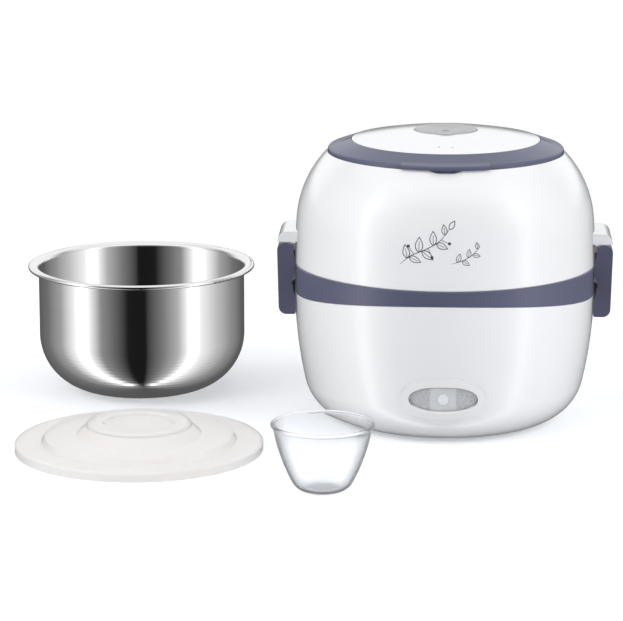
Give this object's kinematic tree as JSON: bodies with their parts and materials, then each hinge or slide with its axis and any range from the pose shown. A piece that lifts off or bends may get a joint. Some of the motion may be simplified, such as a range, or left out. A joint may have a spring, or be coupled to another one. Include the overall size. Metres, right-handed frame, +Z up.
{
  "type": "electric lunch box",
  "caption": "Round electric lunch box with lift-off domed lid, side latches, flip-up handle and front switch, with its steel bowl, bowl lid and measuring cup beside it.",
  "frame": {"origin": "centre of the foot ring's underside, on the table, on the unit's vertical axis", "axes": "+Z up, the unit's front and switch face -Y, its latches face +X and -X; the bowl, bowl lid and cup stand towards -X and -Y"},
  "size_m": [0.3365, 0.309, 0.1639],
  "materials": {
    "white_plastic": "glossy moulded white polypropylene",
    "violet_plastic": "satin moulded purple-grey plastic",
    "latch_plastic": "satin moulded purple-grey plastic",
    "liner_plastic": "semi-gloss moulded white plastic",
    "steel": "pressed stainless steel",
    "mirror_steel": "polished stainless steel",
    "screw_steel": "zinc-plated steel",
    "aluminium": "cast aluminium",
    "brass": "nickel-plated brass",
    "black_plastic": "matt black moulded plastic",
    "white_sleeve": "woven glass sleeve",
    "rubber": "matt rubber",
    "silver_plastic": "silver plastic with fine texture at its ends",
    "clear_lens": "smoked clear plastic",
    "lamp_glass": "small neon lamp",
    "silicone": "translucent silicone",
    "plug_silicone": "soft grey silicone",
    "milky_plastic": "translucent milky polypropylene",
    "clear_plastic": "clear moulded plastic"
  },
  "bodies": {
    "base": {"base_shell": "white_plastic", "seam_band": "violet_plastic", "inner_rim": "white_plastic", "steam_pot": "steel", "heater_plate": "aluminium", "heater_bracket": "steel", "bracket_screws": "screw_steel", "thermal_cutout": "black_plastic", "thermal_fuse": "white_sleeve", "power_switch": "black_plastic", "switch_bezel": "white_plastic", "power_inlet": "black_plastic", "inlet_pins": "brass", "inlet_screws": "screw_steel", "bottom_cover": "white_plastic", "cover_screws": "screw_steel", "foot_ring": "rubber"},
    "button": {"switch_button": "silver_plastic", "switch_plunger": "white_plastic", "indicator_lens": "clear_lens", "indicator_lamp": "lamp_glass"},
    "lid": {"lid_shell": "white_plastic", "top_disc": "white_plastic", "rear_trim": "violet_plastic", "lid_liner": "liner_plastic", "liner_screws": "screw_steel", "lid_seal": "silicone", "latch_pins": "screw_steel", "handle_pins": "screw_steel"},
    "carry_handle": {"handle": "violet_plastic"},
    "plug": {"vent_plug": "plug_silicone"},
    "left_latch": {"latch_left": "latch_plastic"},
    "right_latch": {"latch_right": "latch_plastic"},
    "food_bowl": {"bowl": "mirror_steel"},
    "food_lid": {"bowl_lid": "milky_plastic"},
    "cup": {"measuring_cup": "clear_plastic"}
  },
  "joints": [
    {"name": "switch_press", "type": "slide", "parent": "base", "child": "button", "axis": [0, 1, 0], "range_m": [0, 0.0018], "stiffness_N_per_m": 300},
    {"name": "lid_lift", "type": "slide", "parent": "base", "child": "lid", "axis": [0, 0, 1], "range_m": [0, 0.15]},
    {"name": "left_latch_swing", "type": "hinge", "parent": "lid", "child": "left_latch", "pos_m": [-0.0891, 0, 0.097], "axis": [0, 1, 0], "range_deg": [0, 90]},
    {"name": "right_latch_swing", "type": "hinge", "parent": "lid", "child": "right_latch", "pos_m": [0.0891, 0, 0.097], "axis": [0, -1, 0], "range_deg": [0, 90]},
    {"name": "handle_flip", "type": "hinge", "parent": "lid", "child": "carry_handle", "pos_m": [0, 0, 0.1554], "axis": [-1, 0, 0], "range_deg": [0, 90]},
    {"name": "plug_pull", "type": "slide", "parent": "lid", "child": "plug", "axis": [0, 0, 1], "range_m": [0, 0.012]},
    {"name": "bowl_lift", "type": "slide", "parent": "base", "child": "food_bowl", "axis": [0, 0, 1], "range_m": [0, 0.12]},
    {"name": "bowl_lid_lift", "type": "slide", "parent": "base", "child": "food_lid", "axis": [0, 0, 1], "range_m": [0, 0.12]},
    {"name": "cup_lift", "type": "slide", "parent": "base", "child": "cup", "axis": [0, 0, 1], "range_m": [0, 0.12]}
  ]
}
